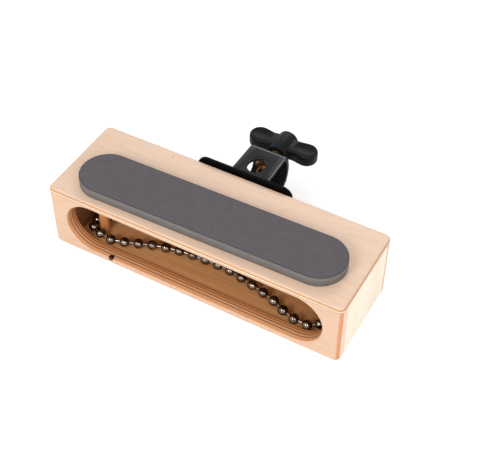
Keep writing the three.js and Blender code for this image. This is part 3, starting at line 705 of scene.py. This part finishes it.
# Glass-filled nylon, injection moulded and spark-eroded matt: black with a soft grey sheen and
# a fine even grain, 0.3 mm on the real one, drawn at 0.7 mm to show.
def moulded_nylon():
    colours = bpy.context.scene.clap_fittings
    material, tree, shader = new_material("Glass-filled nylon, moulded", IOR=1.53, Specular_IOR_Level=0.1)
    grain = add_node(
        tree, "ShaderNodeTexNoise", {"Vector": grain_space(tree, 0.7), "Scale": 1.0, "Detail": 3.0},
    )
    flow, share = dapple(
        tree, grain_space(tree, 14, 5, 14), (0.3, 0.7), (0.88, 1.12), Detail=3.0, Distortion=0.6,
    )
    cover(tree, shader, colours.plastic, share, flow, (0.34, 0.44), relief=(grain, 0.1, 0.08))
    return material


def plated_metal(name, patch_mm, stops, rough, spread, **noise):
    """Plated metal whose shade and polish drift together over patches of a size in millimetres."""
    material, tree, shader = new_material(name, Metallic=1.0)
    space = grain_space(tree, patch_mm)
    wear = add_node(tree, "ShaderNodeTexNoise", {"Vector": space, "Scale": 1.0, **noise})
    shade = add_node(tree, "ShaderNodeValToRGB", (wear,), stops=stops)
    cover(tree, shader, shade, field=wear, rough=rough, spread=spread)
    return material


# Steel, zinc plated and yellow chromated: a gold metal with rainbow-like patches of brown.
def yellow_zinc():
    colours = bpy.context.scene.clap_fittings
    return plated_metal(
        "Steel, yellow-chromated zinc", 4,
        ((0.3, colours.zinc_dark), (0.5, colours.zinc), (0.7, colours.zinc_light)),
        (0.28, 0.42), (0.3, 0.7), Detail=3.0, Distortion=0.8,
    )


# Brass sheet, pressed and dark nickel plated: a brown-black mirror, a little worn and brassy
# where balls rub together.
def dark_nickel():
    colours = bpy.context.scene.clap_fittings
    return plated_metal(
        "Brass, dark nickel plate", 5,
        ((0.35, colours.nickel_dark), (0.55, colours.nickel), (0.72, colours.nickel_light)),
        (0.05, 0.11), (0.35, 0.7), Detail=4.0, Roughness=0.65,
    )


# Steel wire, bright nickel plated: the link pins, silver and finely drawn along their length.
def bright_nickel():
    colours = bpy.context.scene.clap_fittings
    material, tree, shader = new_material("Steel wire, bright nickel plate", Metallic=1.0)
    drawn, share = dapple(tree, grain_space(tree, 3, 0.6, 0.6), (0.3, 0.7), (0.85, 1.1), Detail=3.0)
    cover(tree, shader, colours.pins, share, drawn, (0.15, 0.3))
    return material


# Seamless studio paper: plain white that keeps the block's soft shadow, and shows white where
# the camera or a shiny part sees it.
def studio_paper():
    colours = bpy.context.scene.clap_fittings
    material, tree, shader = new_material(
        "Studio paper", Roughness=0.9, Specular_IOR_Level=0.1, Emission_Color=grey(1.0),
    )
    share = dapple(tree, grain_space(tree, 12), (0.3, 0.7), (0.99, 1.01), Detail=3.0)[1]
    cover(tree, shader, colours.floor, share)
    glow = add_node(tree, "ShaderNodeMath", (seen(tree), 0.4), operation="MULTIPLY")
    tree.links.new(glow, shader.inputs["Emission Strength"])
    return material


class CLAP_OT_top_board(bpy.types.Operator):
    """Cuts the top board from a slab and rounds its corners and upper rim"""
    bl_idname = "clap.top_board"
    bl_label = "Top board"

    def execute(self, context):
        sizes = context.scene.clap_box
        obj = cube("top_board", TOP_LOW, TOP_HIGH)
        pick(obj, "edges", lambda e: along(e, "Z"))
        bevel(sizes.corner, 10)
        round_rim(obj, "Z", 1, sizes.top_round, 6)
        clean(obj, 30)
        woods = context.scene.clap_woods
        material = lacquered_birch("Birch plywood, lacquered, top", woods.face, "Z", TOP_PLIES)
        dress(obj, material, "block", "birch_face", "top_plate")
        return {"FINISHED"}


class CLAP_OT_front_board(bpy.types.Operator):
    """Cuts the front board, rounds its corners and foot, and routs the long slot and its lip"""
    bl_idname = "clap.front_board"
    bl_label = "Front board"

    def execute(self, context):
        sizes = context.scene.clap_box
        low, high = FRONT_LOW, FRONT_HIGH
        obj = cube("front_board", low, high)
        pick(obj, "edges", lambda e: along(e, "Z") and near(e.verts[0].co.y, low.y))
        bevel(sizes.corner, 10)
        pick(obj, "faces", lambda f: f.normal.z < -0.99)
        bpy.ops.mesh.region_to_loop()
        mesh = bmesh.from_edit_mesh(obj.data)
        for edge in mesh.edges:
            if edge.select and all(near(v.co.y, high.y, 0.05) for v in edge.verts):
                edge.select_set(False)
        bmesh.update_edit_mesh(obj.data)
        bevel(sizes.bottom_round, 6)
        bottom = sizes.slot_sill
        top = TOP_LOW.z - sizes.slot_head
        reach = high.x - sizes.slot_from_end
        slot = stadium(
            "slot_cutter", 2 * reach, top - bottom, low.y - 1, high.y + 1, "Y",
            (0, 0, (top + bottom) / 2), 64,
        )
        combine(obj, "DIFFERENCE", slot)
        pick(
            obj, "edges",
            lambda e: all(
                near(v.co.y, low.y) and abs(v.co.x / MM) < reach + 0.1
                and bottom - 0.1 < v.co.z / MM < top + 0.1 for v in e.verts
            ),
        )
        bevel(sizes.slot_round, 5)
        side = sizes.void_width / 2
        void = cube(
            "void", (sizes.void_place - side, low.y + sizes.void_front, bottom - sizes.void_depth),
            (sizes.void_place + side, low.y + sizes.void_back, bottom + 1),
        )
        pick(void, "edges", lambda e: True)
        bevel(sizes.void_round, 3)
        combine(obj, "DIFFERENCE", void)
        clean(obj, 30)
        woods = context.scene.clap_woods
        # The last place is the middle of the void's painted shade.
        material = lacquered_birch(
            "Birch plywood, lacquered, front", woods.front, "Y", FRONT_PLIES, SLOT_PLIES_SHADED,
            (sizes.void_place, low.y + 1.3, bottom - 0.6),
        )
        dress(obj, material, "block", "birch_front", "front_panel")
        return {"FINISHED"}


class CLAP_OT_box_walls(bpy.types.Operator):
    """Finishes the back board, the end blocks and the floor"""
    bl_idname = "clap.box_walls"
    bl_label = "Box walls"

    def execute(self, context):
        woods = context.scene.clap_woods
        repaint("back_panel", lacquered_birch("Birch plywood, lacquered, back", woods.front, "Y", BACK_PLIES))
        # The lime wood takes painted shade on the end blocks' inner faces.
        lime = sawn_wood(
            "Lime wood, sanded and lacquered", woods.cream, woods.cream_dark, (1.8, 1.8, 60), 0.45, 0.55,
            woods.inner, box_mm("end_block_right")[0].x,
        )
        for side in ("left", "right"):
            repaint(f"end_block_{side}", lime)
        floor = sawn_wood("Hardboard floor, bare", woods.floor, woods.floor_dark, (60, 2.4, 2.4), 0.6, 0.6)
        repaint("floor_panel", floor)
        return {"FINISHED"}


class CLAP_OT_dowels(bpy.types.Operator):
    """Turns the two dowels that the chain loops round"""
    bl_idname = "clap.dowels"
    bl_label = "Dowels"

    def execute(self, context):
        woods = context.scene.clap_woods
        material = sawn_wood("Beech dowel, bare", woods.dowel, woods.dowel_dark, (1.1, 1.1, 30), 0.5, 0.7)
        for side in ("left", "right"):
            low, high = box_mm(f"chain_post_{side}")
            obj = rod(f"dowel_{side}", (high.x - low.x) / 2, low.z, high.z, "Z", (low + high) / 2, 40)
            round_rim(obj, "Z", 0, context.scene.clap_box.dowel_round, 2)
            clean(obj, 35)
            dress(obj, material, "block", "dowel_wood", f"chain_post_{side}")
        return {"FINISHED"}


class CLAP_OT_strike_pad(bpy.types.Operator):
    """Cuts the foam pad with round ends, softens its edges and crowns it ring by ring"""
    bl_idname = "clap.strike_pad"
    bl_label = "Strike pad"

    def execute(self, context):
        sizes = context.scene.clap_pad
        middle = (PAD_LOW + PAD_HIGH) / 2
        obj = stadium(
            "foam_pad", sizes.length, sizes.width, PAD_LOW.z, PAD_HIGH.z, "Z", (middle.x, middle.y, 0), 72,
        )
        round_rim(obj, "Z", 1, sizes.edge, 5)
        round_rim(obj, "Z", -1, sizes.foot, 3)
        pick(obj, "faces", lambda f: f.normal.z > 0.99)
        rings = 7
        for i in range(rings):
            bpy.ops.mesh.inset(thickness=sizes.width / 2 / (rings + 2) * MM, use_even_offset=True)
            fall = (1 - (i + 1) / rings) ** 2 - (1 - i / rings) ** 2
            bpy.ops.transform.translate(value=(0, 0, -fall * sizes.crown * MM))
        pick(obj, "verts", lambda v: v.co.z / MM > PAD_HIGH.z - sizes.edge - 0.2)
        bpy.ops.transform.translate(value=(0, 0, -sizes.crown * MM))
        clean(obj, 60)
        turn_all(obj, -sizes.turn, "Z", middle)
        dress(obj, cut_foam(), "block", "foam", "strike_pad")
        return {"FINISHED"}


def ball_centre(node):
    """The middle of a link's ball, in millimetres: under its highest point, at half its height."""
    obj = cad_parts[node]
    top = max((obj.matrix_world @ v.co for v in obj.data.vertices), key=lambda p: p.z)
    low, high = box_mm(node)
    return Vector((top.x / MM, top.y / MM, (low.z + high.z) / 2))


class CLAP_OT_ball_chain(bpy.types.Operator):
    """Presses one ball with rolled mouths, and strings copies with their pins along the chain"""
    bl_idname = "clap.ball_chain"
    bl_label = "Ball chain"

    def execute(self, context):
        sizes = context.scene.clap_chain
        material = dark_nickel()
        silver = bright_nickel()
        radius = sizes.ball / 2
        rest()
        bpy.ops.mesh.primitive_uv_sphere_add(
            segments=24, ring_count=14, radius=radius * MM, rotation=(0, math.pi / 2, 0),
        )
        pattern = settle("link_pattern")
        reach = math.sqrt(radius ** 2 - (sizes.mouth / 2) ** 2)
        for side in (1, -1):
            slice_at(pattern, (side * reach, 0, 0), (side, 0, 0), trim=True)
            pick(
                pattern, "faces",
                lambda f: f.normal.x * side > 0.999 and abs(f.calc_center_median().x / MM) > reach - 0.05,
            )
            bpy.ops.mesh.inset(thickness=sizes.lip * MM)
            bpy.ops.mesh.extrude_region_move(
                TRANSFORM_OT_translate={"value": (-side * sizes.tuck * MM, 0, 0)},
            )
        clean(pattern, 40)
        places = [ball_centre(node) for node in LINKS]
        clasp = box_mm("chain_clasp")
        for i, node in enumerate(LINKS):
            place = places[i]
            step = places[(i + 1) % len(places)] - place
            # Past 1.6 balls away the clasp stands between: the pin goes to its nearest corner.
            if step.length > 1.6 * sizes.ball:
                corners = [Vector((x.x, y.y, place.z)) - place for x in clasp for y in clasp]
                step = min(corners, key=lambda run: run.length).normalized() * 1.25 * sizes.ball
            ball = copy_of(pattern)
            shell = len(ball.data.polygons)
            start = radius - 2 * sizes.wall
            end = step.length - radius + sizes.grip
            join(ball, rod("pin", sizes.pin / 2, start, end, "X", (0, 0, 0), 10))
            ball.rotation_mode = "QUATERNION"
            ball.rotation_quaternion = step.to_track_quat("X", "Z")
            ball.location = place * MM
            settle(f"ball_{i + 1:02d}")
            bpy.ops.object.shade_smooth_by_angle(angle=math.radians(40))
            dress(ball, material, "chain", "dark_nickel", node)
            ball.data.materials.append(silver)
            for face in ball.data.polygons[shell:]:
                face.material_index = 1
        bpy.data.objects.remove(pattern, do_unlink=True)
        repaint("chain_clasp", material)
        return {"FINISHED"}


class CLAP_OT_mount_plate(bpy.types.Operator):
    """Punches the mounting plate, rounds its corners and breaks its outer edge"""
    bl_idname = "clap.mount_plate"
    bl_label = "Mount plate"

    def execute(self, context):
        sizes = context.scene.clap_clamp
        obj = cube("plate", PLATE_LOW, PLATE_HIGH)
        pick(obj, "edges", lambda e: along(e, "Y"))
        bevel(sizes.plate_corner, 12)
        round_rim(obj, "Y", 0, sizes.plate_edge, 3)
        for name in SCREWS:
            low, high = box_mm(name)
            hole = rod(
                "hole", sizes.screw_hole / 2, PLATE_LOW.y - 1, PLATE_HIGH.y + 1, "Y", (low + high) / 2, 24,
            )
            combine(obj, "DIFFERENCE", hole)
        clean(obj, 30)
        dark = context.scene.clap_fittings.plate
        coat = powder_coat("Mild steel, plate, powder coat", dark, dark, 0.03)
        dress(obj, coat, "block", "black_steel", "mount_plate")
        return {"FINISHED"}


class CLAP_OT_plate_screws(bpy.types.Operator):
    """Heads one pan-head wood screw with a cross recess, and sets four of it"""
    bl_idname = "clap.plate_screws"
    bl_label = "Plate screws"

    def execute(self, context):
        sizes = context.scene.clap_clamp
        low, high = box_mm(SCREWS[0])
        seat = PLATE_HIGH.y + GLUE_GAP
        head = rod("screw_pattern", sizes.head / 2, seat, high.y, "Y", (0, 0, 0), 32)
        round_rim(head, "Y", 1, sizes.head_round, 6)
        length, width = sizes.recess_length / 2, sizes.recess_width / 2
        for turn in (0.0, math.pi / 2):
            blade = cube(
                "blade", (-length, high.y - sizes.recess_depth, -width), (length, high.y + 1, width),
            )
            pick(blade, "verts", lambda v: v.co.y / MM < high.y - 1)
            bpy.ops.transform.resize(value=(0.4, 1, 0.6))
            turn_all(blade, turn, "Y")
            combine(head, "DIFFERENCE", blade)
        shank = rod("shank", sizes.shank / 2, low.y, seat, "Y", (0, 0, 0), 24)
        pick(shank, "faces", lambda f: f.normal.y < -0.99)
        bpy.ops.transform.resize(value=(0.5, 1, 0.5))
        join(head, shank)
        clean(head, 40)
        dark = context.scene.clap_fittings.plate
        material = powder_coat("Mild steel, screws, powder coat", dark, dark, 0.25)
        for i, name in enumerate(SCREWS):
            low, high = box_mm(name)
            middle = (low + high) / 2
            screw = copy_of(head)
            screw.location = (middle.x * MM, 0, middle.z * MM)
            screw.rotation_euler = (0, math.radians(20 + 35 * i), 0)
            settle(name.replace("plate_screw", "pan_screw"))
            dress(screw, material, "block", "black_steel", name)
        bpy.data.objects.remove(head, do_unlink=True)
        return {"FINISHED"}


class CLAP_OT_rod_strap(bpy.types.Operator):
    """Bends the flat bar into two leaves and a bowed web, and drills it for rod and screw"""
    bl_idname = "clap.rod_strap"
    bl_label = "Rod strap"

    def execute(self, context):
        sizes = context.scene.clap_clamp
        half = (STRAP_HIGH.z - STRAP_LOW.z - sizes.bar) / 2
        ridge = STRAP_HIGH.y - sizes.bulge - sizes.bar / 2
        bend = sizes.bend
        line = [(STRAP_LOW.y - 1, half), (ridge - bend, half)]
        turns = (0.4, 0.8, 1.2)
        line += [(ridge - bend + bend * math.sin(a), half - bend + bend * math.cos(a)) for a in turns]
        corner = len(line)
        count = 14
        for i in range(1, count):
            up = 1 - 2 * i / count
            line.append((ridge + sizes.bulge * (1 - up * up), up * half))
        line += [(y, -z) for y, z in reversed(line[:corner])]
        steps = [(0, y1 - y0, z1 - z0) for (y0, z0), (y1, z1) in zip(line, line[1:])]
        obj = outline_from("strap", (-sizes.neck, line[0][0], AXIS_Z + line[0][1]), steps)
        bpy.ops.mesh.select_all(action="SELECT")
        bpy.ops.mesh.extrude_region_move(TRANSFORM_OT_translate={"value": (2 * sizes.neck * MM, 0, 0)})
        bpy.ops.mesh.select_all(action="SELECT")
        bpy.ops.mesh.normals_make_consistent(inside=False)
        modify(obj, "SOLIDIFY", thickness=sizes.bar * MM, offset=0, use_even_offset=True)
        clean(obj, 30)
        gussets = []
        for side in (1, -1):
            leaf = AXIS_Z + side * (half - sizes.bar / 2 + 0.3)
            inside = leaf - side * sizes.gusset_rise
            wedge = cube(
                "gusset", (2 - sizes.neck, STRAP_LOW.y - 0.5, min(leaf, inside)),
                (sizes.neck - 2, STRAP_LOW.y + sizes.gusset, max(leaf, inside)),
            )
            pick(
                wedge, "verts",
                lambda v: v.co.y / MM > STRAP_LOW.y + 3 and (v.co.z / MM - leaf) * -side > 1,
            )
            bpy.ops.transform.translate(value=(0, 0, side * (sizes.gusset_rise - 0.05) * MM))
            gussets.append(wedge)
        combine(obj, "UNION", *gussets)
        outline = cube(
            "outline", (-STRAP_HIGH.x, STRAP_LOW.y, STRAP_LOW.z - 2),
            (STRAP_HIGH.x, STRAP_HIGH.y + 2, STRAP_HIGH.z + 2),
        )
        pick(outline, "verts", lambda v: v.co.y / MM > STRAP_HIGH.y)
        bpy.ops.transform.resize(value=(sizes.neck / (2 * STRAP_HIGH.x), 1, 1))
        combine(obj, "INTERSECT", outline)
        middle = (0, PLATE_HIGH.y + sizes.hole_from_plate, 0)
        hole = rod("hole", sizes.hole_width / 2, STRAP_LOW.z - 2, STRAP_HIGH.z + 2, "Z", middle, 48)
        pick(hole, "verts", lambda v: True)
        bpy.ops.transform.resize(
            value=(1, sizes.hole_depth / sizes.hole_width, 1), center_override=tuple(Vector(middle) * MM),
        )
        bore = rod("bore", sizes.bore / 2, sizes.bore_start, STRAP_HIGH.y + 2, "Y", (0, 0, AXIS_Z), 40)
        combine(obj, "DIFFERENCE", hole, bore)
        soften(obj, sizes.strap_edge, 3)
        clean(obj, 30)
        coats = context.scene.clap_fittings
        # The strap's coat lays a painted highlight on the top leaf's edges, from 0.9 mm under its top.
        coat = powder_coat(
            "Mild steel, strap, powder coat", coats.powder, coats.powder_highlight, 0.08, STRAP_HIGH.z - 0.9,
        )
        dress(obj, coat, "block", "black_steel", "rod_strap")
        return {"FINISHED"}


class CLAP_OT_wing_screw(bpy.types.Operator):
    """Cuts the thread of the wing screw's stud, and finishes its nut"""
    bl_idname = "clap.wing_screw"
    bl_label = "Wing screw"

    def execute(self, context):
        zinc = yellow_zinc()
        pitch = context.scene.clap_clamp.thread
        radius = (STUD_HIGH.z - STUD_LOW.z) / 2
        rise = 0.6 * pitch
        flank, crest = pitch * 0.44, pitch * 0.12
        obj = outline_from(
            "stud", (radius - rise, STUD_LOW.y - 1.5 * pitch, 0),
            ((rise, flank, 0), (0, crest, 0), (-rise, flank, 0)),
        )
        modify(
            obj, "SCREW", axis="Y", screw_offset=pitch * MM, steps=24, render_steps=24,
            iterations=int((STUD_HIGH.y - STUD_LOW.y) / pitch) + 3,
            use_merge_vertices=True, merge_threshold=0.01 * MM,
        )
        for place, side in ((STUD_LOW.y, -1), (STUD_HIGH.y, 1)):
            slice_at(obj, (0, place, 0), (0, side, 0), trim=True)
        move_all(obj, (0, 0, AXIS_Z))
        clean(obj, 40)
        dress(obj, zinc, "wing_stud", "zinc_steel", "wing_stud")
        repaint("clamp_nut", zinc)
        return {"FINISHED"}


class CLAP_OT_wing_knob(bpy.types.Operator):
    """Moulds the wing knob: a round hub with two dished wings"""
    bl_idname = "clap.wing_knob"
    bl_label = "Wing knob"

    def execute(self, context):
        sizes = context.scene.clap_clamp
        half = sizes.wing_thickness / 2
        middle_y = KNOB_LOW.y + sizes.wing_front + sizes.wing_depth / 2
        wings = stadium(
            "knob", KNOB_HIGH.x - KNOB_LOW.x, sizes.wing_depth, AXIS_Z - half, AXIS_Z + half, "Z",
            (0, middle_y, 0), 48,
        )
        slices = [i * 1.4 for i in range(-12, 13)]
        narrowest, spread = 9.5, 4.5
        for place in slices:
            slice_at(wings, (place, 0, 0), (1, 0, 0))
        for place in slices:
            away = (abs(place) - narrowest) / spread
            waist = 1 - sizes.wing_waist / (sizes.wing_depth / 2) * math.exp(-away * away)
            pick(wings, "verts", lambda v: near(v.co.x, place, 0.05))
            bpy.ops.transform.resize(value=(1, waist, 1), center_override=(0, middle_y * MM, 0))
        round_rim(wings, "Z", 0, sizes.wing_round, 5)
        # Each dish is a shallow cap of a ball that is lifted off the wing and stretched.
        lift = 3 * sizes.dish_depth
        stretch = 1 / math.sqrt(1 - (lift / (lift + sizes.dish_depth)) ** 2) / 2
        for side_x in (-1, 1):
            for side_z in (-1, 1):
                rest()
                place = Vector((sizes.dish_place * side_x, middle_y, AXIS_Z + side_z * (half + lift)))
                bpy.ops.mesh.primitive_uv_sphere_add(
                    segments=96, ring_count=96, radius=MM, location=place * MM,
                )
                bpy.context.object.scale = (
                    sizes.dish_length * stretch, sizes.dish_width * stretch, lift + sizes.dish_depth,
                )
                combine(wings, "DIFFERENCE", settle("dish"))
        hub = rod("hub", sizes.hub / 2, KNOB_LOW.y, KNOB_HIGH.y, "Y", (0, 0, AXIS_Z), 56)
        round_rim(hub, "Y", 1, sizes.hub_round, 5)
        round_rim(hub, "Y", -1, 0.5, 2)
        combine(wings, "UNION", hub)
        bore = rod("bore", sizes.bore / 2, KNOB_LOW.y - 1, STUD_HIGH.y + 0.3, "Y", (0, 0, AXIS_Z), 40)
        combine(wings, "DIFFERENCE", bore)
        soften(wings, sizes.knob_edge, 2)
        clean(wings, 40)
        dress(wings, moulded_nylon(), "wing_knob", "black_plastic", "wing_knob")
        return {"FINISHED"}


class CLAP_OT_studio(bpy.types.Operator):
    """Sets the floor, the soft lamps and the camera"""
    bl_idname = "clap.studio"
    bl_label = "Studio"

    def execute(self, context):
        rest()
        bpy.ops.mesh.primitive_grid_add(x_subdivisions=8, y_subdivisions=8, size=6, location=(0, 0, -0.0002))
        floor = settle("paper")
        floor.data.materials.append(studio_paper())

        world = bpy.data.worlds.new("Studio")
        world.use_nodes = True
        context.scene.world = world
        tree = world.node_tree
        tree.nodes.clear()
        strength = add_node(tree, "ShaderNodeMapRange", (seen(tree), 0.0, 1.0, 0.53, 1.0))
        sky = add_node(tree, "ShaderNodeBackground", {"Color": grey(1.0), "Strength": strength})
        add_node(tree, "ShaderNodeOutputWorld", (sky,))

        # Name, place and size in metres, and power in watts.
        lamps = (
            ("key_lamp", (-0.7, -0.75, 1.25), (0.9, 0.9), 1.8),
            ("fill_lamp", (1.3, -0.5, 0.8), (0.8, 0.8), 4.6),
            ("back_lamp", (-0.3, 1.2, 1.0), (0.9, 0.5), 5.0),
            ("left_softbox", (-0.12, -0.72, 0.55), (0.2, 0.3), 3.2),
            ("right_softbox", (0.5, -0.6, 0.55), (0.16, 0.3), 1.8),
        )
        for name, place, size, power in lamps:
            rest()
            bpy.ops.object.light_add(type="AREA", location=place)
            lamp = context.object
            lamp.name = name
            lamp.data.shape = "RECTANGLE"
            lamp.data.size, lamp.data.size_y = size
            lamp.data.energy = power
            aim = Vector((0, 0, 0.03)) - Vector(place)
            lamp.rotation_euler = aim.to_track_quat("-Z", "Y").to_euler()

        rest()
        bpy.ops.object.camera_add(
            location=(0.2402, -0.3973, 0.5162),
            rotation=tuple(math.radians(a) for a in (43.9953, -0.4564, 29.0689)),
        )
        camera = context.object
        camera.name = "camera"
        camera.data.sensor_width = 36
        camera.data.lens = 77.63
        camera.data.clip_start = 0.01
        context.scene.camera = camera
        context.scene.view_settings.view_transform = "Standard"
        return {"FINISHED"}


PIECES = (
    CLAP_OT_top_board,
    CLAP_OT_front_board,
    CLAP_OT_box_walls,
    CLAP_OT_dowels,
    CLAP_OT_strike_pad,
    CLAP_OT_ball_chain,
    CLAP_OT_mount_plate,
    CLAP_OT_plate_screws,
    CLAP_OT_rod_strap,
    CLAP_OT_wing_screw,
    CLAP_OT_wing_knob,
    CLAP_OT_studio,
)


class CLAP_PT_panel(bpy.types.Panel):
    bl_idname = "CLAP_PT_panel"
    bl_label = "Clap Block"
    bl_space_type = "VIEW_3D"
    bl_region_type = "UI"
    bl_category = "Clap Block"

    def draw(self, context):
        for piece in PIECES:
            self.layout.operator(piece.bl_idname)


GROUPS = {
    "clap_box": BoxSizes,
    "clap_pad": PadSizes,
    "clap_chain": ChainSizes,
    "clap_clamp": ClampSizes,
    "clap_woods": WoodColours,
    "clap_fittings": FittingColours,
}


def register():
    for name, group in GROUPS.items():
        bpy.utils.register_class(group)
        setattr(bpy.types.Scene, name, PointerProperty(type=group))
    for piece in PIECES + (CLAP_PT_panel,):
        bpy.utils.register_class(piece)


def unregister():
    for piece in reversed(PIECES + (CLAP_PT_panel,)):
        bpy.utils.unregister_class(piece)
    for name, group in reversed(GROUPS.items()):
        delattr(bpy.types.Scene, name)
        bpy.utils.unregister_class(group)


def main():
    register()
    for piece in PIECES:
        group, name = piece.bl_idname.split(".")
        getattr(getattr(bpy.ops, group), name)()


if __name__ == "__main__":
    main()
